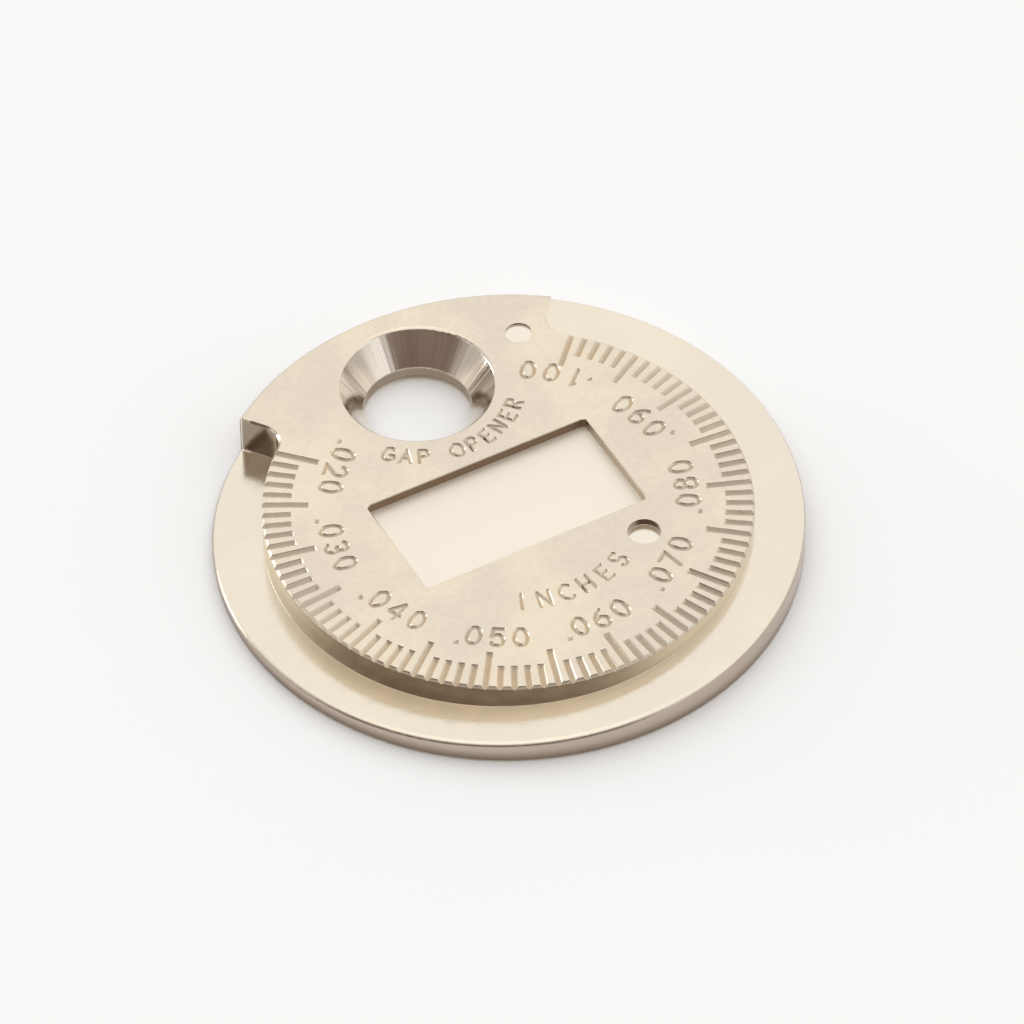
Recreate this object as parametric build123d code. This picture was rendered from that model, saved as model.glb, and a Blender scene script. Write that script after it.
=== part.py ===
from build123d import *
import math
import os

# A coin-shaped spark plug gap gauge, cast in one piece. All sizes are in millimetres.
# The origin is the centre of the flat back. +Z points out of the face with the scale,
# and +Y points from the centre to the hole that opens a gap.

# Disc
disc_radius = 31.75 / 2
disc_height = 2.75
rim_edge_radius = 0.25

# Edges that the casting die only breaks
face_edge_break = 0.13
back_edge_break = 0.15
opener_back_break = 0.1
recess_lip_break = 0.05

# Scale of gaps in inches, centred on -Y and read counter-clockwise
inch = 25.4
first_mark_inches = 0.020
last_mark_inches = 0.100
mark_step_inches = 0.001
mark_pitch_degrees = 3.4
marks_per_long_mark = 5

# Ramp that the gaps are gauged on, around a raised dial
dial_radius = 13.15
ramp_margin_in_marks = 2
pocket_corner_radius = 1.25

# How far cutters and hidden joins run past the surfaces they meet
overlap = 1.0
overlap_degrees = 1.0

# Engraved graduations on the dial, V-shaped and open through its wall
groove_width = 0.42
groove_depth = 0.2
short_mark_inner_radius = 11.58
long_mark_inner_radius = 10.65

# Graduations on the flat back, in millimetres, V-shaped and closed at both ends
back_first_mark = 0.55
back_last_mark = 2.50
back_mark_step = 0.05
back_marks_per_long_mark = 2
back_groove_width = 0.3
back_groove_depth = 0.14
back_mark_outer_radius = 12.9
back_short_mark_inner_radius = 12.0
back_long_mark_inner_radius = 11.3

# Hole that opens a gap: a short cylindrical land under a wide countersink. Rounding the
# mouth takes it out past the radius at which the cone meets the face.
opener_distance = 10.27
opener_land_radius = 2.95
opener_land_length = 0.5
opener_mouth_radius = 4.28
opener_mouth_rounding = 0.3

# Rectangular recess in the middle of the face
recess_length = 13.35
recess_width = 6.8
recess_depth = 0.55
recess_offset = 0.16
recess_draft = 5
recess_corner_radius = 0.25

# Round marks left by two ejector pins: x, y, radius, depth
ejector_marks = ((6.65, 10.95, 0.75, 0.12), (5.35, -5.3, 0.9, 0.4))

mark_count = round((last_mark_inches - first_mark_inches) / mark_step_inches) + 1
first_mark_angle = 270 - mark_pitch_degrees * (mark_count - 1) / 2
last_mark_angle = 270 + mark_pitch_degrees * (mark_count - 1) / 2
ramp_start = first_mark_angle - ramp_margin_in_marks * mark_pitch_degrees
ramp_end = last_mark_angle + ramp_margin_in_marks * mark_pitch_degrees


def thickness_at(angle):
    """Thickness of the ramp at an angle from +X, which is the gap gauged there."""
    marks = (angle - first_mark_angle) / mark_pitch_degrees
    return inch * (first_mark_inches + marks * mark_step_inches)


def angle_of(thickness):
    """Angle at which the ramp is this thick."""
    marks = (thickness / inch - first_mark_inches) / mark_step_inches
    return first_mark_angle + marks * mark_pitch_degrees


def ring_sector(inner, outer, start, end):
    """Face between two radii and two angles."""
    inner_arc = CenterArc((0, 0), inner, start, end - start)
    outer_arc = CenterArc((0, 0), outer, start, end - start)
    sides = Line(inner_arc @ 0, outer_arc @ 0) + Line(inner_arc @ 1, outer_arc @ 1)
    return make_face(inner_arc + outer_arc + sides)


def air_over_ramp(inner, outer, start, end):
    """Solid whose underside is the ramp: a ruled surface between two helices."""
    rise = thickness_at(end) - thickness_at(start)
    pitch = rise * 360 / (end - start)
    inner_helix = Helix(pitch=pitch, height=rise, radius=inner).edge()
    outer_helix = Helix(pitch=pitch, height=rise, radius=outer).edge()
    ramp = Face.make_surface_from_curves(inner_helix, outer_helix)
    air = Solid.extrude(ramp, Vector(0, 0, disc_height))
    return Pos(0, 0, thickness_at(start)) * Rot(Z=start) * air


def gauging_rim():
    """Ring whose thickness grows from the first mark to the last, its outer edge rounded."""
    plan = ring_sector(dial_radius - overlap, disc_radius, ramp_start, ramp_end)
    ring = extrude(plan, disc_height)
    air = air_over_ramp(
        dial_radius - 2 * overlap,
        disc_radius + overlap,
        ramp_start - overlap_degrees,
        ramp_end + overlap_degrees,
    )
    rim = ring - air
    outer_edge = rim.edges().filter_by(GeomType.BSPLINE).sort_by(SortBy.LENGTH)[-1]
    return fillet(outer_edge, rim_edge_radius)


def dial():
    """Full-thickness middle with the thick sector that carries the gap opener."""
    sector = ring_sector(dial_radius - overlap, disc_radius, ramp_end - 360, ramp_start)
    plan = Circle(dial_radius) + sector
    inner_corners = plan.vertices().filter_by(
        lambda corner: math.hypot(corner.X, corner.Y) < dial_radius + 0.01
    )
    plan = fillet(inner_corners, pocket_corner_radius)
    block = extrude(plan, disc_height)
    return chamfer(block.faces().sort_by(Axis.Z)[-1].edges(), face_edge_break)


def break_back_edge(body):
    """Break the outer edge of the flat back."""
    outer_edge = body.faces().sort_by(Axis.Z)[0].outer_wire().edges()
    return chamfer(outer_edge, back_edge_break)


def opener_hole():
    """Cutter for the hole that opens a gap: a land with a wide cone above it."""
    land = Cylinder(opener_land_radius, 2 * opener_land_length)
    cone_height = disc_height - opener_land_length
    cone = Cone(opener_land_radius, opener_mouth_radius, cone_height)
    cone_middle = opener_land_length + cone_height / 2
    return Pos(0, opener_distance, 0) * (land + Pos(0, 0, cone_middle) * cone)


def recess():
    """Cutter for the drafted recess in the middle of the face."""
    mouth = RectangleRounded(recess_length, recess_width, recess_corner_radius)
    cutter = extrude(mouth, amount=-recess_depth, taper=recess_draft)
    return Pos(0, recess_offset, disc_height) * cutter


def openings_in(face):
    """Outlines of the openings in a face, the shortest first."""
    return face.inner_wires().sort_by(SortBy.LENGTH)


def soften_openings(body):
    """Break the edge of the hole on the back and the lip of the recess, and round the mouth."""
    back = body.faces().sort_by(Axis.Z)[0]
    body = chamfer(openings_in(back)[0].edges(), opener_back_break)
    face = body.faces().sort_by(Axis.Z)[-1]
    body = chamfer(openings_in(face)[-1].edges(), recess_lip_break)
    face = body.faces().sort_by(Axis.Z)[-1]
    return fillet(openings_in(face)[0].edges(), opener_mouth_rounding)


def ejector_mark(x, y, radius, depth):
    return Pos(x, y, disc_height) * Cylinder(radius, 2 * depth)


def groove(inner, outer, width, depth):
    """V-shaped cutter along +X that reaches as far above the surface as below it.

    Both ends rise at 45 degrees and meet the surface at the inner and outer radius."""
    section = make_face(Polyline((-width, depth), (width, depth), (0, -depth), close=True))
    across = Plane(origin=(inner - depth, 0, 0), x_dir=(0, 1, 0), z_dir=(1, 0, 0))
    cutter = extrude(across * section, outer - inner + 2 * depth)
    for end, towards_middle in ((inner, 1), (outer, -1)):
        slope = Plane(origin=(end, 0, 0), z_dir=(towards_middle, 0, 1))
        cutter = split(cutter, slope, keep=Keep.TOP)
    return cutter


def face_graduations():
    """One groove for each thousandth of an inch, longer at every fifth."""
    grooves = []
    for mark in range(mark_count):
        is_long = mark % marks_per_long_mark == 0
        inner = long_mark_inner_radius if is_long else short_mark_inner_radius
        cutter = groove(inner, dial_radius + overlap, groove_width, groove_depth)
        angle = first_mark_angle + mark * mark_pitch_degrees
        grooves.append(Pos(0, 0, disc_height) * Rot(Z=angle) * cutter)
    return grooves


def back_graduations():
    """One groove under each place where the rim is a round number of millimetres thick."""
    grooves = []
    first = round(back_first_mark / back_mark_step)
    last = round(back_last_mark / back_mark_step)
    for mark in range(first, last + 1):
        is_long = mark % back_marks_per_long_mark == 0
        inner = back_long_mark_inner_radius if is_long else back_short_mark_inner_radius
        cutter = groove(inner, back_mark_outer_radius, back_groove_width, back_groove_depth)
        grooves.append(Rot(Z=angle_of(mark * back_mark_step)) * Rot(X=180) * cutter)
    return grooves


gauge = break_back_edge(dial() + gauging_rim())
gauge = soften_openings(gauge - opener_hole() - recess())
gauge = gauge - [ejector_mark(*mark) for mark in ejector_marks]
gauge = gauge - face_graduations() - back_graduations()

os.makedirs("parts", exist_ok=True)
export_step(gauge, "parts/gauge_disc.step")
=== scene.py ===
import math

import bmesh
import bpy
from mathutils import Matrix, Vector


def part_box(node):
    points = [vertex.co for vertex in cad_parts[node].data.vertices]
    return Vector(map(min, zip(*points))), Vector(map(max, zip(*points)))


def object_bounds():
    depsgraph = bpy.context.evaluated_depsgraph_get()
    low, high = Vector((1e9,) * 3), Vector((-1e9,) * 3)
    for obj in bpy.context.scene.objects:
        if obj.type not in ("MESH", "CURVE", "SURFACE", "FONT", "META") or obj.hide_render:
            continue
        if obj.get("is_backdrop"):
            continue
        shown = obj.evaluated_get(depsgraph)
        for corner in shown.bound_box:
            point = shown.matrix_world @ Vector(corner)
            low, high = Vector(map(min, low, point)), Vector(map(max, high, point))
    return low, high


# Looks of a coin-shaped spark plug gap gauge: satin nickel plating over a zinc casting.
# Lengths in names that end in _mm are millimetres, and all others are metres.
MM = 0.001

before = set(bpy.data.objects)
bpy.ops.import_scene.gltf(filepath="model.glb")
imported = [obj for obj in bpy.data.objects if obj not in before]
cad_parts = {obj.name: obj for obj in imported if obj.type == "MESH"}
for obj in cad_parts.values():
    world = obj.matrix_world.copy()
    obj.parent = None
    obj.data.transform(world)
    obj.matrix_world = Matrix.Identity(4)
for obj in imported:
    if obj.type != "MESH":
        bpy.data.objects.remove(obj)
cad_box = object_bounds()
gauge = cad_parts["gauge_disc"]
top_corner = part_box("gauge_disc")[1]
face_height_mm = top_corner.z / MM
disc_radius_mm = top_corner.y / MM

# The disc, as far as the looks need it. A pin's mark or a pocket is its centre and radius.
centre_mm = (0.0, 0.0)
dial_radius_mm = 13.15
opener_centre_mm = (0.0, 10.27)
opener_mouth_radius_mm = 4.6
opener_neck_radius_mm = 2.95
# The neck as the photograph shows it, a little further up than the CAD model has it
opener_neck_heights_mm = (0.3, 0.94)
recess_centre_mm = (0.0, 0.16)
recess_half_size_mm = (6.675, 3.4)
recess_depth_mm = 0.55
shallow_pin_mark_mm = ((6.65, 10.95), 0.75)
deep_pin_mark_mm = ((5.35, -5.3), 0.9)
thin_end_pocket_mm = ((-8.77, 11.55), 1.9)

# Scales: degrees from +X, counter-clockwise on the face
inch_mm = 25.4
first_mark_inches = 0.020
mark_step_inches = 0.001
first_mark_degrees = 134.0
degrees_per_mark = 3.4

# Camera, fitted to the photograph
view_azimuth_degrees = -28.1
view_elevation_degrees = 46.85
view_roll_degrees = -0.89
look_at_mm = (1.114, 1.661, 0.0)
camera_distance_mm = 400.0
sensor_width_mm = 36.0
lens_mm = 261.42


def camera_axes():
    """Right, up and forward directions of the camera."""
    turn = Matrix.Rotation(math.radians(view_azimuth_degrees), 3, "Z")
    elevation = math.radians(view_elevation_degrees)
    roll = math.radians(view_roll_degrees)
    forward = turn @ Vector((0, math.cos(elevation), -math.sin(elevation)))
    level_up = turn @ Vector((0, math.sin(elevation), math.cos(elevation)))
    level_right = turn @ Vector((1, 0, 0))
    right = math.cos(roll) * level_right + math.sin(roll) * level_up
    up = math.cos(roll) * level_up - math.sin(roll) * level_right
    return right, up, forward


def add_camera():
    right, up, forward = camera_axes()
    camera = bpy.data.cameras.new("camera")
    camera.sensor_width = sensor_width_mm
    camera.lens = lens_mm
    camera.clip_start = 0.05
    camera.clip_end = 50.0
    holder = bpy.data.objects.new("camera", camera)
    place = Vector(look_at_mm) * MM - forward * camera_distance_mm * MM
    columns = Matrix((right, up, -forward)).transposed()
    holder.matrix_world = Matrix.Translation(place) @ columns.to_4x4()
    bpy.context.scene.collection.objects.link(holder)
    bpy.context.scene.camera = holder


SCALAR_RESULTS = ("LENGTH", "DISTANCE", "DOT_PRODUCT")


class Nodes:
    """Short way to write a node tree."""

    def __init__(self, tree):
        self.tree = tree
        tree.nodes.clear()

    def add(self, kind, inputs=None, **settings):
        node = self.tree.nodes.new(kind)
        for name, value in settings.items():
            setattr(node, name, value)
        for name, value in (inputs or {}).items():
            self.set(node.inputs[name], value)
        return node

    def set(self, socket, value):
        if isinstance(value, bpy.types.NodeSocket):
            self.tree.links.new(value, socket)
        else:
            socket.default_value = value

    def math(self, operation, *values):
        node = self.add("ShaderNodeMath", operation=operation)
        for socket, value in zip(node.inputs, values):
            self.set(socket, value)
        return node.outputs[0]

    def times(self, value, factor):
        return self.math("MULTIPLY", value, factor)

    def all_of(self, *masks):
        """Product of masks: 1 where every one of them is 1."""
        product = masks[0]
        for mask in masks[1:]:
            product = self.times(product, mask)
        return product

    def either(self, first, second):
        """The larger of two masks."""
        return self.math("MAXIMUM", first, second)

    def outside(self, mask):
        return self.math("SUBTRACT", 1.0, mask)

    def upward(self, direction):
        """Z of a vector."""
        return self.add("ShaderNodeSeparateXYZ", {"Vector": direction}).outputs["Z"]

    def compare(self, operation, value, limit):
        """Whether a number is over or under a limit."""
        node = self.add("FunctionNodeCompare", data_type="FLOAT", operation=operation)
        self.set(node.inputs["A"], value)
        self.set(node.inputs["B"], limit)
        return node.outputs[0]

    def vector(self, operation, first, second=None, scale=None):
        node = self.add("ShaderNodeVectorMath", operation=operation)
        self.set(node.inputs[0], first)
        if second is not None:
            self.set(node.inputs[1], second)
        if scale is not None:
            self.set(node.inputs["Scale"], scale)
        return node.outputs["Value" if operation in SCALAR_RESULTS else "Vector"]

    def ramp(self, value, start, end, low=0.0, high=1.0):
        """Smooth step from low, at start, to high, at end."""
        node = self.add("ShaderNodeMapRange", interpolation_type="SMOOTHSTEP")
        for name, number in (
            ("Value", value),
            ("From Min", start),
            ("From Max", end),
            ("To Min", low),
            ("To Max", high),
        ):
            self.set(node.inputs[name], number)
        return node.outputs["Result"]

    def mix(self, factor, first, second):
        """Mix of two colours."""
        node = self.add("ShaderNodeMix", data_type="RGBA")
        self.set(node.inputs["Factor"], factor)
        self.set(node.inputs[6], first)
        self.set(node.inputs[7], second)
        return node.outputs[2]

    def blend(self, factor, first, second):
        """Mix of two numbers."""
        node = self.add("ShaderNodeMix", data_type="FLOAT")
        self.set(node.inputs["Factor"], factor)
        self.set(node.inputs[2], first)
        self.set(node.inputs[3], second)
        return node.outputs[0]

    def noise(self, where, scale, detail=2.0, roughness=0.5):
        node = self.add(
            "ShaderNodeTexNoise",
            {"Vector": where, "Scale": scale, "Detail": detail, "Roughness": roughness},
        )
        return node.outputs["Fac"]


def colour(red, green, blue):
    return (red, green, blue, 1.0)


# Colours, in linear light
nickel_warm = colour(0.89, 0.785, 0.625)
nickel_cool = colour(0.80, 0.715, 0.595)
nickel_clean = colour(0.94, 0.875, 0.77)
nickel_bright = colour(0.905, 0.84, 0.715)
nickel_turned = colour(0.93, 0.87, 0.79)
# Painted shade on the outer wall
nickel_outer_wall_shade = colour(0.54, 0.455, 0.385)
nickel_tarnish = colour(0.36, 0.265, 0.185)
# Painted shade on the walls and at the foot of the outer wall
nickel_painted_shade = colour(0.21, 0.145, 0.10)
floor_white = colour(0.93, 0.945, 0.955)
floor_grey = colour(0.92, 0.935, 0.945)

# How much of the clean, bright or tarnished colour there is, from 0 to 1
pin_floor_clean = 0.8
ramp_bright = 0.55
flecks_tarnish = 0.08
streaks_tarnish = 0.3
engraved_tarnish = 0.2

# How much painted shade darkens the walls, from 0 to 1. On the dial's it grows from the face down.
dial_wall_painted_shade = (0.06, 0.35)
dial_wall_shade_depth_mm = 1.4
recess_wall_painted_shade = 0.5
recess_far_wall_painted_shade = 0.93
recess_far_wall_y_mm = (3.3, 3.45)
shallow_pin_painted_shade = 0.6
deep_pin_painted_shade = 0.75
pocket_painted_shade = 0.78
neck_painted_shade = 0.74
# Painted shade at the foot of the outer wall, where it meets the floor
outer_foot_painted_shade = 0.7
outer_foot_heights_mm = (0.9, 0.1)

# Roughness of the plating. The cast skin varies between two values.
cast_roughness = (0.13, 0.19)
engraved_roughness = 0.45
recess_floor_roughness = 0.5
cone_roughness = 0.14
wall_roughness = 0.12

# Relief, in millimetres of height, and the draft of the walls as a slope
grain_mm = 0.004
waves_mm = 0.007
chatter_mm = 0.022
draft_slope = 0.06

# Where the parts of the plating end. A pair is the two sides of a soft edge, from out to in.
off_back_heights_mm = (0.25, 0.4)
engraved_depths_mm = (0.015, 0.10)
under_engraving_depths_mm = (0.45, 0.4)
back_engraved_heights_mm = (0.01, 0.08)
over_back_engraving_heights_mm = (0.3, 0.25)
engraved_radius_mm = dial_radius_mm - 0.03
cone_foot_heights_mm = (opener_neck_heights_mm[1] - 0.03, opener_neck_heights_mm[1] + 0.03)
cone_mouth_depths_mm = (0.05, 0.17)
recess_floor_depths_mm = (recess_depth_mm - 0.06, recess_depth_mm - 0.01)
shallow_pin_floor_depths_mm = (0.05, 0.1)
deep_pin_floor_depths_mm = (0.3, 0.38)
ramp_depths_mm = (0.07, 0.14)
inner_walls_radius_mm = disc_radius_mm - 0.175
outer_wall_radius_mm = disc_radius_mm - 0.095
rounded_rim_radius_mm = disc_radius_mm - 0.675
upright_normals = (0.35, 0.2)

# Rounding that the shading gives the edges
edge_rounding_mm = 0.045
rim_rounding_mm = 0.3
neck_rounding_mm = 0.12


class Surface(Nodes):
    """Nodes that know where on the disc a point lies. Masks are 1 inside and 0 outside."""

    def __init__(self, tree):
        super().__init__(tree)
        here = self.add("ShaderNodeTexCoord").outputs["Object"]
        self.place = self.vector("SCALE", here, scale=1 / MM)
        self.axes = self.add("ShaderNodeSeparateXYZ", {"Vector": self.place}).outputs
        self.height = self.axes["Z"]
        self.depth = self.math("SUBTRACT", face_height_mm, self.height)
        flat = {"X": self.axes["X"], "Y": self.axes["Y"]}
        self.flat_place = self.add("ShaderNodeCombineXYZ", flat).outputs[0]
        # Keeps what belongs to the face from showing on the flat back
        self.off_back = self.ramp(self.height, *off_back_heights_mm)

    def within(self, middle_mm, radius_mm, softness_mm=0.05):
        """Upright cylinder."""
        distance = self.vector("DISTANCE", self.flat_place, (*middle_mm, 0))
        return self.ramp(distance, radius_mm + softness_mm, radius_mm)

    def within_box(self, middle_mm, half_size_mm, softness_mm=0.12):
        """Upright box."""
        sides = []
        for axis, middle, half in zip("XY", middle_mm, half_size_mm):
            offset = self.math("ABSOLUTE", self.math("SUBTRACT", self.axes[axis], middle))
            sides.append(self.ramp(offset, half + softness_mm / 2, half - softness_mm / 2))
        return self.all_of(*sides)

    def within_recess(self, margin_mm=0.0):
        half_size_mm = [half + margin_mm for half in recess_half_size_mm]
        return self.within_box(recess_centre_mm, half_size_mm)

    def engraved_face(self):
        """Floors and flanks of the graduations and letters on the dial."""
        openings = [self.within(opener_centre_mm, opener_mouth_radius_mm)]
        openings.append(self.within_recess())
        openings += [self.within(*mark) for mark in (shallow_pin_mark_mm, deep_pin_mark_mm)]
        clear = self.all_of(*[self.outside(opening) for opening in openings])
        on_dial = self.within(centre_mm, engraved_radius_mm, 0.06)
        sunk = self.ramp(self.depth, *engraved_depths_mm)
        shallow = self.ramp(self.depth, *under_engraving_depths_mm)
        return self.all_of(sunk, on_dial, clear, shallow)

    def engraved_back(self):
        """Floors and flanks of the graduations and letters on the back."""
        on_back = self.within(centre_mm, engraved_radius_mm, 0.06)
        off_neck = self.outside(self.within(opener_centre_mm, opener_neck_radius_mm + 0.2))
        sunk = self.ramp(self.height, *back_engraved_heights_mm)
        shallow = self.ramp(self.height, *over_back_engraving_heights_mm)
        return self.all_of(sunk, shallow, on_back, off_neck)

    def in_cone(self):
        """The turned cone, from the neck up to the rounding of its mouth."""
        above_neck = self.ramp(self.height, *cone_foot_heights_mm)
        below_mouth = self.ramp(self.depth, *cone_mouth_depths_mm)
        in_mouth = self.within(opener_centre_mm, opener_mouth_radius_mm)
        return self.all_of(in_mouth, above_neck, below_mouth)

    def recess_floor(self):
        low = self.ramp(self.depth, *recess_floor_depths_mm)
        return self.all_of(self.within_recess(), low, self.off_back)

    def pin_floors(self):
        """Floors of the two ejector marks."""
        shallow = self.ramp(self.depth, *shallow_pin_floor_depths_mm)
        shallow = self.all_of(self.within(*shallow_pin_mark_mm), shallow)
        deep = self.ramp(self.depth, *deep_pin_floor_depths_mm)
        deep = self.all_of(self.within(*deep_pin_mark_mm), deep)
        return self.all_of(self.math("ADD", shallow, deep), self.off_back)

    def on_ramp(self):
        off_dial = self.outside(self.within(centre_mm, dial_radius_mm - 0.05, 0.1))
        return self.all_of(off_dial, self.ramp(self.depth, *ramp_depths_mm), self.off_back)

    def inner_walls(self, in_cone):
        """Upright walls within the outer one, the cone left out."""
        normal = self.add("ShaderNodeNewGeometry").outputs["True Normal"]
        upright = self.ramp(self.math("ABSOLUTE", self.upward(normal)), *upright_normals)
        inside = self.within(centre_mm, inner_walls_radius_mm)
        return self.all_of(upright, inside, self.outside(in_cone))

    def outer_wall(self):
        return self.outside(self.within(centre_mm, outer_wall_radius_mm, 0.06))

    def direction_from_opener(self):
        """Direction from the axis of the opener hole, as a point on a circle of radius 1."""
        offset = self.vector("SUBTRACT", self.flat_place, (*opener_centre_mm, 0))
        return self.vector("NORMALIZE", offset)


def painted_wall_shade(s):
    """How much painted shade darkens the upright walls."""
    shade_level = s.ramp(s.depth, 0.0, dial_wall_shade_depth_mm, *dial_wall_painted_shade)
    on_far_wall = s.ramp(s.axes["Y"], *recess_far_wall_y_mm)
    in_recess = s.blend(on_far_wall, recess_wall_painted_shade, recess_far_wall_painted_shade)
    shade_level = s.blend(s.within_recess(0.1), shade_level, in_recess)
    for (middle_mm, radius_mm), local_shade in (
        (shallow_pin_mark_mm, shallow_pin_painted_shade),
        (deep_pin_mark_mm, deep_pin_painted_shade),
        (thin_end_pocket_mm, pocket_painted_shade),
        ((opener_centre_mm, opener_neck_radius_mm), neck_painted_shade),
    ):
        shade_level = s.blend(s.within(middle_mm, radius_mm + 0.1), shade_level, local_shade)
    return shade_level


def plating_colour(s, engraved, in_cone, recess_floor, inner_walls):
    """Cloudy cast skin, a brighter ramp, a streaked cone, clean floors, and painted shade on the walls.
    """
    clouds = s.ramp(s.noise(s.place, 0.22, 3.0), 0.35, 0.65)
    flecks = s.ramp(s.noise(s.place, 2.6, 4.0, 0.6), 0.3, 0.75)
    tint = s.mix(clouds, nickel_warm, nickel_cool)
    tint = s.mix(s.times(flecks, flecks_tarnish), tint, nickel_tarnish)
    tint = s.mix(s.times(s.on_ramp(), ramp_bright), tint, nickel_bright)
    tint = s.mix(s.times(s.pin_floors(), pin_floor_clean), tint, nickel_clean)
    tint = s.mix(recess_floor, tint, nickel_clean)
    streaks = s.ramp(s.noise(s.direction_from_opener(), 4.0, 4.0, 0.75), 0.4, 0.7)
    turned_tint = s.mix(s.times(streaks, streaks_tarnish), nickel_turned, nickel_tarnish)
    tint = s.mix(in_cone, tint, turned_tint)
    # Painted shade: the outer wall darker all over, and darkest at its foot by the floor
    outer_wall = s.outer_wall()
    outer_foot = s.all_of(outer_wall, s.ramp(s.height, *outer_foot_heights_mm))
    tint = s.mix(outer_wall, tint, nickel_outer_wall_shade)
    tint = s.mix(s.times(outer_foot, outer_foot_painted_shade), tint, nickel_painted_shade)
    # Painted shade on the upright walls within the rim, deepest towards their feet
    tint = s.mix(s.times(inner_walls, painted_wall_shade(s)), tint, nickel_painted_shade)
    return s.mix(s.times(engraved, engraved_tarnish), tint, nickel_tarnish)


def plating_roughness(s, engraved, in_cone, recess_floor, inner_walls):
    wear = s.noise(s.place, 0.9, 4.0, 0.6)
    roughness = s.ramp(wear, 0.3, 0.7, *cast_roughness)
    roughness = s.blend(engraved, roughness, engraved_roughness)
    roughness = s.blend(recess_floor, roughness, recess_floor_roughness)
    roughness = s.blend(in_cone, roughness, cone_roughness)
    return s.blend(inner_walls, roughness, wall_roughness)


def plating_normal(s, in_cone, inner_walls):
    """Rounded edges, cast skin, slow waves, drafted walls and the tool's chatter in the cone."""
    grain = s.times(s.noise(s.place, 9.0, 3.0, 0.6), grain_mm)
    waves = s.times(s.noise(s.place, 0.7, 1.0), waves_mm)
    draft = s.all_of(inner_walls, s.times(s.depth, draft_slope))
    cast = s.math("ADD", s.math("ADD", grain, waves), draft)
    chatter = s.times(s.noise(s.direction_from_opener(), 9.0, 3.0, 0.7), chatter_mm)
    relief = s.blend(in_cone, cast, chatter)
    on_rim = s.outside(s.within(centre_mm, rounded_rim_radius_mm, 0.1))
    round_neck = s.within(opener_centre_mm, opener_neck_radius_mm + 0.25)
    rounding = s.blend(on_rim, edge_rounding_mm * MM, rim_rounding_mm * MM)
    rounding = s.blend(round_neck, rounding, neck_rounding_mm * MM)
    edge = s.add("ShaderNodeBevel", {"Radius": rounding}, samples=6).outputs[0]
    bump_inputs = {"Strength": 1.0, "Distance": MM, "Height": relief, "Normal": edge}
    return s.add("ShaderNodeBump", bump_inputs).outputs[0]


def nickel_material():
    """Plating: cloudy on the cast skin, glossy in the turned cone, tarnished where engraved, with
    painted shade on its walls.
    """
    material = bpy.data.materials.new("satin_nickel")
    material.use_nodes = True
    s = Surface(material.node_tree)
    engraved = s.math("ADD", s.engraved_face(), s.engraved_back())
    in_cone = s.in_cone()
    recess_floor = s.recess_floor()
    inner_walls = s.inner_walls(in_cone)
    shader_inputs = {
        "Base Color": plating_colour(s, engraved, in_cone, recess_floor, inner_walls),
        "Roughness": plating_roughness(s, engraved, in_cone, recess_floor, inner_walls),
        "Normal": plating_normal(s, in_cone, inner_walls),
        "Metallic": 1.0,
    }
    shader = s.add("ShaderNodeBsdfPrincipled", shader_inputs)
    s.add("ShaderNodeOutputMaterial", {"Surface": shader.outputs[0]})
    return material


# Alphabet of plain strokes, each in a cell one unit high whose middle is (0, 0)
def line(*corners):
    """Straight strokes from corner to corner."""
    return [[start, end] for start, end in zip(corners, corners[1:])]


def arc(x, y, radius_x, radius_y, first_degrees, last_degrees):
    """One stroke along an ellipse, its angles counter-clockwise from +X."""
    degrees_per_step = 20
    steps = max(2, round(abs(last_degrees - first_degrees) / degrees_per_step))
    points = []
    for step in range(steps + 1):
        angle = math.radians(first_degrees + (last_degrees - first_degrees) * step / steps)
        points.append((x + radius_x * math.cos(angle), y + radius_y * math.sin(angle)))
    return [points]


def oval(x, y, radius_x, radius_y):
    return arc(x, y, radius_x, radius_y, 0, 360)


def turned(strokes):
    """The same strokes turned upside down."""
    return [[(-x, -y) for x, y in points] for points in strokes]


BOWL = arc(0.04, 0.24, 0.26, 0.26, 90, -90) + line((0.04, 0.5), (-0.24, 0.5))
BOWL += line((-0.24, -0.5), (-0.24, 0.5)) + line((-0.24, -0.02), (0.04, -0.02))
SIX = oval(0, -0.21, 0.29, 0.29) + arc(0.25, -0.21, 0.54, 0.71, 100, 178)
POSTS = line((-0.28, -0.5), (-0.28, 0.5)) + line((0.28, -0.5), (0.28, 0.5))

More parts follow.
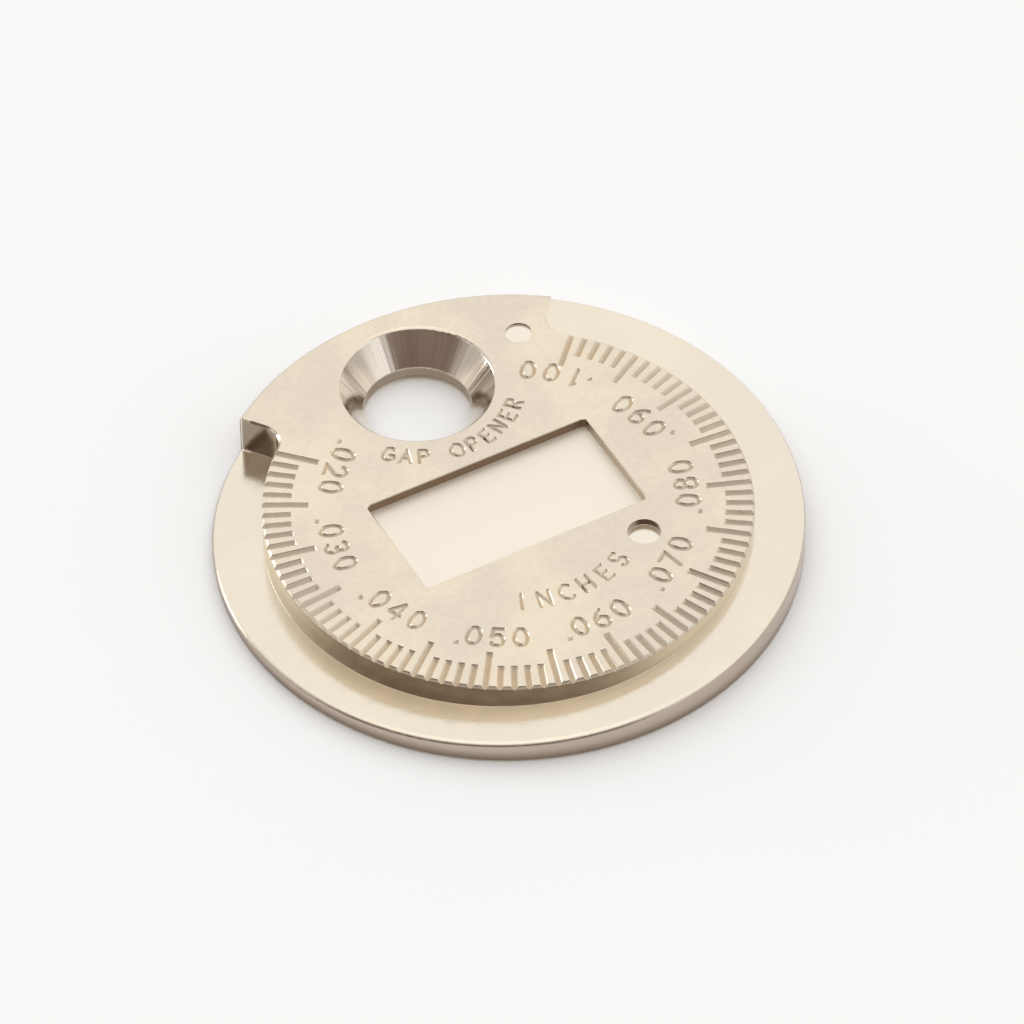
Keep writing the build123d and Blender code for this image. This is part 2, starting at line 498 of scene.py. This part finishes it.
ALPHABET = {
    ".": line((-0.02, 0), (0.02, 0)),
    "0": oval(0, 0, 0.3, 0.5),
    "1": line((0, -0.5), (0, 0.5), (-0.14, 0.36)),
    "2": arc(0, 0.21, 0.29, 0.29, 165, -38) + line((0.23, 0.03), (-0.29, -0.5), (0.3, -0.5)),
    "3": arc(0, 0.24, 0.26, 0.26, 150, -90) + arc(0, -0.22, 0.29, 0.28, 90, -150),
    "4": line((0.12, -0.5), (0.12, 0.5), (-0.31, -0.2), (0.31, -0.2)),
    "5": line((0.25, 0.5), (-0.2, 0.5), (-0.25, 0.04)) + arc(0, -0.17, 0.29, 0.33, 142, -148),
    "6": SIX,
    "7": line((-0.29, 0.5), (0.29, 0.5), (-0.1, -0.5)),
    "8": oval(0, 0.25, 0.25, 0.25) + oval(0, -0.23, 0.29, 0.27),
    "9": turned(SIX),
    "A": line((-0.34, -0.5), (0, 0.5), (0.34, -0.5)) + line((-0.23, -0.17), (0.23, -0.17)),
    "C": arc(0.04, 0, 0.36, 0.5, 48, 312),
    "E": line((0.26, 0.5), (-0.22, 0.5), (-0.22, -0.5), (0.26, -0.5)) + line((-0.22, 0), (0.18, 0)),
    "G": arc(0.03, 0, 0.37, 0.5, 48, 340) + line((0.08, -0.06), (0.36, -0.06), (0.36, -0.3)),
    "H": POSTS + line((-0.28, 0), (0.28, 0)),
    "I": line((0, -0.5), (0, 0.5)),
    "M": line((-0.36, -0.5), (-0.32, 0.5), (0, -0.25), (0.32, 0.5), (0.36, -0.5)),
    "N": line((-0.29, -0.5), (-0.29, 0.5), (0.29, -0.5), (0.29, 0.5)),
    "O": oval(0, 0, 0.38, 0.5),
    "P": BOWL,
    "R": BOWL + line((0.02, -0.02), (0.28, -0.5)),
    "S": arc(0, 0.24, 0.27, 0.26, 40, 262) + arc(0, -0.24, 0.28, 0.26, 98, -142),
}


def hidden(name, shape):
    """A mesh that only modifiers use."""
    bmesh.ops.recalc_face_normals(shape, faces=shape.faces)
    mesh = bpy.data.meshes.new(name)
    shape.to_mesh(mesh)
    holder = bpy.data.objects.new(name, mesh)
    bpy.context.scene.collection.objects.link(holder)
    holder.hide_render = True
    return holder


def revolve(shape, profile_mm, middle_mm, steps=96):
    """Ring round an upright axis, from a closed outline of (radius, height) points."""
    rings = []
    for step in range(steps):
        angle = 2 * math.pi * step / steps
        ring = []
        for radius, height in profile_mm:
            x = middle_mm[0] + radius * math.cos(angle)
            y = middle_mm[1] + radius * math.sin(angle)
            ring.append(shape.verts.new((x * MM, y * MM, height * MM)))
        rings.append(ring)
    for ring, next_ring in zip(rings, rings[1:] + rings[:1]):
        for index in range(len(profile_mm)):
            follower = (index + 1) % len(profile_mm)
            corners = (ring[index], next_ring[index], next_ring[follower], ring[follower])
            shape.faces.new(corners)


def opener_neck():
    """What the neck of the opener hole has over the CAD model's: a longer land."""
    low, high = opener_neck_heights_mm
    neck = opener_neck_radius_mm
    # The cone above the neck ends just inside the CAD model's, and the rest is in the metal
    cone_end = (4.203, 2.61)
    buried_radius = 4.7
    buried_height = 2.45
    profile = [(neck, low), (neck, high), cone_end, (buried_radius, buried_height), (buried_radius, low)]
    shape = bmesh.new()
    revolve(shape, profile, opener_centre_mm)
    return hidden("opener_neck", shape)


class Engraving:
    """Collects V-shaped strokes into one hidden mesh, which cuts them out of the disc."""

    # How far the cutter stands clear of the surface, its flanks going on at the same slope
    clearance_mm = 0.05
    steps_round_an_end = 4

    def __init__(self):
        self.shape = bmesh.new()

    def text(self, letters, place_at, height_mm, width_mm, depth_mm):
        """Characters with their angles, each put in place by place_at."""
        for character, degrees in letters:
            for points in ALPHABET[character]:
                scaled = [Vector(point) * height_mm for point in points]
                self.stroke(scaled, place_at(degrees), width_mm, depth_mm)

    def stroke(self, points, place, width_mm, depth_mm):
        """One stroke: closed where it ends on its own start, and else with round ends."""
        closed = (points[0] - points[-1]).length < 1e-6
        if closed:
            points = points[:-1]
        half_top = width_mm / 2 * (depth_mm + self.clearance_mm) / depth_mm

        def vertex(point, height):
            return self.shape.verts.new(place @ Vector((*point, height)))

        rings = []
        for index, point in enumerate(points):
            is_last = index == len(points) - 1
            before = points[index - 1] if closed or index > 0 else point
            after = points[(index + 1) % len(points)] if closed or not is_last else point
            along = (after - before).normalized()
            side = Vector((-along.y, along.x)) * half_top
            left = vertex(point + side, self.clearance_mm)
            right = vertex(point - side, self.clearance_mm)
            rings.append((left, vertex(point, -depth_mm), right, side))
        followers = rings[1:] + (rings[:1] if closed else [])
        for (left, low, right, _), (next_left, next_low, next_right, _) in zip(rings, followers):
            self.shape.faces.new((left, next_left, next_low, low))
            self.shape.faces.new((low, next_low, next_right, right))
            self.shape.faces.new((right, next_right, next_left, left))
        if not closed:
            left, low, right, side = rings[0]
            self.round_end(left, low, right, points[0], side, vertex)
            left, low, right, side = rings[-1]
            self.round_end(right, low, left, points[-1], -side, vertex)

    def round_end(self, first, low, last, middle, side, vertex):
        """Half a cone round the end of a stroke, counter-clockwise from first to last."""
        fan = [first]
        for step in range(1, self.steps_round_an_end):
            turn = Matrix.Rotation(math.pi * step / self.steps_round_an_end, 2)
            fan.append(vertex(middle + turn @ side, self.clearance_mm))
        fan.append(last)
        for start, end in zip(fan, fan[1:]):
            self.shape.faces.new((start, end, low))
        self.shape.faces.new(fan[::-1])

    def countersink_back(self):
        """Cone that opens the hole on the back, up to the lower end of its neck."""
        low = opener_neck_heights_mm[0]
        neck = opener_neck_radius_mm
        inside_radius = 2.0
        past = 0.4
        profile = [(inside_radius, -past), (neck + low + past, -past)]
        profile += [(neck - past, low + past), (inside_radius, low + past)]
        revolve(self.shape, profile, opener_centre_mm)


# The two flat sides, as frames in millimetres whose +Z points out of the metal
face_side = Matrix.Translation((0, 0, face_height_mm))
back_side = Matrix.Rotation(math.pi, 4, "X")


def on_arc(side, middle_mm, radius_mm):
    """Places of characters whose tops are towards the centre of the arc that they follow."""

    def place_at(degrees):
        return (
            Matrix.Scale(MM, 4)
            @ side
            @ Matrix.Translation((*middle_mm, 0))
            @ Matrix.Rotation(math.radians(degrees), 4, "Z")
            @ Matrix.Translation((radius_mm, 0, 0))
            @ Matrix.Rotation(math.radians(90), 4, "Z")
        )

    return place_at


def spread(text, first_degrees, last_degrees):
    """The characters of a text with their angles, evenly spaced, and its blanks left out."""
    step = (last_degrees - first_degrees) / (len(text) - 1)
    letters = [(letter, first_degrees + index * step) for index, letter in enumerate(text)]
    return [(letter, degrees) for letter, degrees in letters if letter != " "]


def degrees_of(inches):
    """Angle on the face at which the rim is this thick."""
    marks = (inches - first_mark_inches) / mark_step_inches
    return first_mark_degrees + marks * degrees_per_mark


# Lettering: how high and wide characters are, how wide and deep their strokes, and their places
digit_height_mm = 1.18
digit_pitch_degrees = 7.4
digit_radius_mm = 9.6
digit_stroke_mm = (0.28, 0.14)
point_size_mm = 1.0
point_stroke_mm = (0.34, 0.14)
word_stroke_mm = (0.24, 0.12)
face_unit_height_mm = 1.05
face_unit_radius_mm = 7.1
face_unit_degrees = (-113.0, -63.5)
opener_words_height_mm = 0.92
opener_words_radius_mm = 5.45
opener_words_degrees = (225.5, 314.5)
back_digit_half_spread_degrees = 5.6
back_unit_radius_mm = 6.4
back_unit_degrees = (83.5, 96.5)


def face_numerals(engraving):
    """Gap in inches at every tenth mark, its decimal point first."""
    numeral_offset_degrees = 1.8
    point_offset_degrees = -12.0
    point_outwards_mm = 0.65
    last_hundredths = 10
    last_numeral_outwards_mm = 0.45
    point_place = on_arc(face_side, centre_mm, digit_radius_mm + point_outwards_mm)
    for hundredths in range(2, last_hundredths + 1):
        middle = degrees_of(hundredths / 100) + numeral_offset_degrees
        outwards_mm = last_numeral_outwards_mm if hundredths == last_hundredths else 0
        ends = (middle - digit_pitch_degrees, middle + digit_pitch_degrees)
        digits = spread(f"{10 * hundredths:03d}", *ends)
        digit_place = on_arc(face_side, centre_mm, digit_radius_mm + outwards_mm)
        engraving.text(digits, digit_place, digit_height_mm, *digit_stroke_mm)
        point = [(".", middle + point_offset_degrees)]
        engraving.text(point, point_place, point_size_mm, *point_stroke_mm)


def face_words(engraving):
    """Unit of the scale, and what the hole is for."""
    unit_place = on_arc(face_side, centre_mm, face_unit_radius_mm)
    unit = spread("INCHES", *face_unit_degrees)
    engraving.text(unit, unit_place, face_unit_height_mm, *word_stroke_mm)
    words_place = on_arc(face_side, opener_centre_mm, opener_words_radius_mm)
    words = spread("GAP OPENER", *opener_words_degrees)
    engraving.text(words, words_place, opener_words_height_mm, *word_stroke_mm)


def back_lettering(engraving):
    """Thickness of the rim in millimetres, at every fourth mark of the back."""
    numerals_in_tenths = range(6, 25, 2)
    point_outwards_mm = 0.5
    digit_place = on_arc(back_side, centre_mm, digit_radius_mm)
    point_place = on_arc(back_side, centre_mm, digit_radius_mm + point_outwards_mm)
    for tenths in numerals_in_tenths:
        middle = -degrees_of(tenths / 10 / inch_mm)
        half = back_digit_half_spread_degrees
        numeral = spread(f"{tenths / 10:.1f}", middle - half, middle + half)
        digits = [numeral[0], numeral[-1]]
        engraving.text(digits, digit_place, digit_height_mm, *digit_stroke_mm)
        engraving.text([(".", middle)], point_place, point_size_mm, *point_stroke_mm)
    unit = spread("MM", *back_unit_degrees)
    unit_place = on_arc(back_side, centre_mm, back_unit_radius_mm)
    engraving.text(unit, unit_place, digit_height_mm, *digit_stroke_mm)


def smooth_by_angle():
    """Modifier group: smooth faces, sharp edges where the surface turns by more than a limit.

    Level faces stay flat, so that no thin neighbour can tilt their shading."""
    limit_degrees = 24.0
    level_from = 0.99999
    tree = bpy.data.node_groups.new("smooth_by_angle", "GeometryNodeTree")
    tree.interface.new_socket("Geometry", in_out="INPUT", socket_type="NodeSocketGeometry")
    tree.interface.new_socket("Geometry", in_out="OUTPUT", socket_type="NodeSocketGeometry")
    n = Nodes(tree)
    start = n.add("NodeGroupInput").outputs["Geometry"]
    plain = n.add("GeometryNodeRemoveAttribute", {"Geometry": start, "Name": "custom_normal"})
    lean = n.math("ABSOLUTE", n.upward(n.add("GeometryNodeInputNormal").outputs[0]))
    curved = n.compare("LESS_THAN", lean, level_from)
    smooth_inputs = {"Geometry": plain.outputs[0], "Shade Smooth": curved}
    smooth = n.add("GeometryNodeSetShadeSmooth", smooth_inputs, domain="FACE")
    turn = n.add("GeometryNodeInputMeshEdgeAngle").outputs["Unsigned Angle"]
    sharp = n.compare("GREATER_THAN", turn, math.radians(limit_degrees))
    edge_inputs = {"Geometry": smooth.outputs[0], "Selection": sharp, "Shade Smooth": False}
    edges = n.add("GeometryNodeSetShadeSmooth", edge_inputs, domain="EDGE")
    n.add("NodeGroupOutput", {"Geometry": edges.outputs[0]})
    return tree


def add_boolean(name, operation, other):
    modifier = gauge.modifiers.new(name, "BOOLEAN")
    modifier.operation = operation
    modifier.solver = "EXACT"
    modifier.object = other
    return modifier


def finish_gauge():
    """Engrave, smooth and plate the cast disc."""
    engraving = Engraving()
    face_numerals(engraving)
    face_words(engraving)
    back_lettering(engraving)
    engraving.countersink_back()
    weld = gauge.modifiers.new("weld", "WELD")
    weld.merge_threshold = 1e-7
    add_boolean("neck", "UNION", opener_neck())
    cut = add_boolean("engrave", "DIFFERENCE", hidden("engraving_cutter", engraving.shape))
    cut.use_self = True
    gauge.modifiers.new("triangulate", "TRIANGULATE")
    smooth = gauge.modifiers.new("smooth", "NODES")
    smooth.node_group = smooth_by_angle()
    gauge.material_slots[0].material = nickel_material()


# The floor lies just under the disc, so that the two planes never coincide
floor_half_size = 1.5
floor_height_mm = -0.01
# The floor as the camera and the metal see it: white, with its own shadow kept
floor_gain = 1.195
# Where the floor is clear: under the disc, apart from what shows through the opener hole
clear_radii_mm = (15.6, 15.5)
opener_floor_radii_mm = (3.4, 3.5)


def floor_material():
    """Pale paper, clear from below and where the disc lies, so that its back can be seen."""
    material = bpy.data.materials.new("floor_paper")
    material.use_nodes = True
    n = Nodes(material.node_tree)
    place = n.vector("SCALE", n.add("ShaderNodeTexCoord").outputs["Object"], scale=1 / MM)
    grain_scale = 40.0 * MM
    tone = n.mix(n.noise(place, grain_scale), floor_white, floor_grey)
    rays = n.add("ShaderNodeLightPath").outputs
    seen = n.either(rays["Is Camera Ray"], rays["Is Glossy Ray"])
    seen = n.either(seen, rays["Is Transmission Ray"])
    tone = n.vector("SCALE", tone, scale=n.blend(seen, 1.0, floor_gain))
    paper = n.add("ShaderNodeBsdfDiffuse", {"Color": tone}).outputs[0]
    from_centre = n.vector("LENGTH", place)
    from_opener = n.vector("DISTANCE", place, (*opener_centre_mm, floor_height_mm))
    under_disc = n.ramp(from_centre, *clear_radii_mm)
    under_disc = n.all_of(under_disc, n.ramp(from_opener, *opener_floor_radii_mm))
    from_below = n.add("ShaderNodeNewGeometry").outputs["Backfacing"]
    clear = n.add("ShaderNodeBsdfTransparent").outputs[0]
    seen_through = n.add("ShaderNodeMixShader", {"Fac": n.either(under_disc, from_below)})
    n.set(seen_through.inputs[1], paper)
    n.set(seen_through.inputs[2], clear)
    n.add("ShaderNodeOutputMaterial", {"Surface": seen_through.outputs[0]})
    return material


def add_floor():
    half = floor_half_size
    mesh = bpy.data.meshes.new("floor")
    outline = ((-half, -half), (half, -half), (half, half), (-half, half))
    mesh.from_pydata([(x, y, floor_height_mm * MM) for x, y in outline], [], [(0, 1, 2, 3)])
    floor = bpy.data.objects.new("floor", mesh)
    bpy.context.scene.collection.objects.link(floor)
    floor.data.materials.append(floor_material())
    floor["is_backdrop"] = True


# The studio round the disc, in linear light
studio_bright = colour(1.0, 0.985, 0.965)
studio_top = colour(1.2, 1.19, 1.17)
studio_room = colour(0.16, 0.11, 0.085)
studio_low_room = colour(0.22, 0.165, 0.14)
studio_side = colour(0.55, 0.51, 0.475)
studio_window = colour(5.0, 5.0, 5.0)

# Where it is dark, dim or lit, as degrees counter-clockwise from +X and over the horizon
room_walls_azimuth = 230.5
room_ceiling_azimuth = 219.0
side_azimuth = 150.0
far_side_azimuth = 328.0
window_azimuth = 130.0
window_elevation = 3.0

# Soft edges of those places, from out to in, as cosines of the angle from where they are
room_walls_edge = (0.40, 0.70)
room_ceiling_edge = (-0.30, 0.60)
side_edge = (0.82, 0.94)
window_edge = (0.972, 0.988)

# And as the height of a direction, which is 1 straight up
top_heights = (0.88, 0.97)
room_top_heights = (0.79, 0.67)
room_ceiling_heights = (0.50, 0.62)
darker_room_heights = (0.35, 0.55)
side_heights = (0.55, 0.35)
far_side_heights = (0.32, 0.12)


def toward(azimuth_degrees, elevation_degrees=0.0):
    """Unit vector."""
    azimuth = math.radians(azimuth_degrees)
    elevation = math.radians(elevation_degrees)
    across = math.cos(elevation)
    return (across * math.cos(azimuth), across * math.sin(azimuth), math.sin(elevation))


def add_world():
    """Soft studio: bright all round, a light overhead, a dark room in front and a low window."""
    world = bpy.data.worlds.new("studio")
    world.use_nodes = True
    bpy.context.scene.world = world
    n = Nodes(world.node_tree)
    direction = n.vector("NORMALIZE", n.add("ShaderNodeTexCoord").outputs["Generated"])
    height = n.upward(direction)
    level = n.vector("NORMALIZE", n.vector("MULTIPLY", direction, (1, 1, 0)))

    def level_towards(azimuth_degrees, edge):
        """Directions round an azimuth, whatever their height."""
        return n.ramp(n.vector("DOT_PRODUCT", level, toward(azimuth_degrees)), *edge)

    room_ceiling = level_towards(room_ceiling_azimuth, room_ceiling_edge)
    room_ceiling = n.all_of(room_ceiling, n.ramp(height, *room_ceiling_heights))
    in_room = n.either(level_towards(room_walls_azimuth, room_walls_edge), room_ceiling)
    in_room = n.all_of(in_room, n.ramp(height, *room_top_heights))
    in_side = n.all_of(level_towards(side_azimuth, side_edge), n.ramp(height, *side_heights))
    in_far_side = level_towards(far_side_azimuth, side_edge)
    in_far_side = n.all_of(in_far_side, n.ramp(height, *far_side_heights))
    to_window = toward(window_azimuth, window_elevation)
    in_window = n.ramp(n.vector("DOT_PRODUCT", direction, to_window), *window_edge)

    light = n.mix(n.ramp(height, *top_heights), studio_bright, studio_top)
    light = n.mix(n.either(in_side, in_far_side), light, studio_side)
    room = n.mix(n.ramp(height, *darker_room_heights), studio_low_room, studio_room)
    light = n.mix(in_room, light, room)
    light = n.mix(in_window, light, studio_window)
    background = n.add("ShaderNodeBackground", {"Color": light, "Strength": 1.0})
    n.add("ShaderNodeOutputWorld", {"Surface": background.outputs[0]})


def set_view():
    bpy.context.scene.view_settings.view_transform = "Standard"


def write_sizes():
    """The CAD model's box and the visual model's box, as lists of numbers, which are not written
    anywhere.
    """
    boxes = {"cad": cad_box, "visual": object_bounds()}
    plain = {name: [list(corner) for corner in box] for name, box in boxes.items()}


add_camera()
add_floor()
add_world()
set_view()
finish_gauge()
write_sizes()
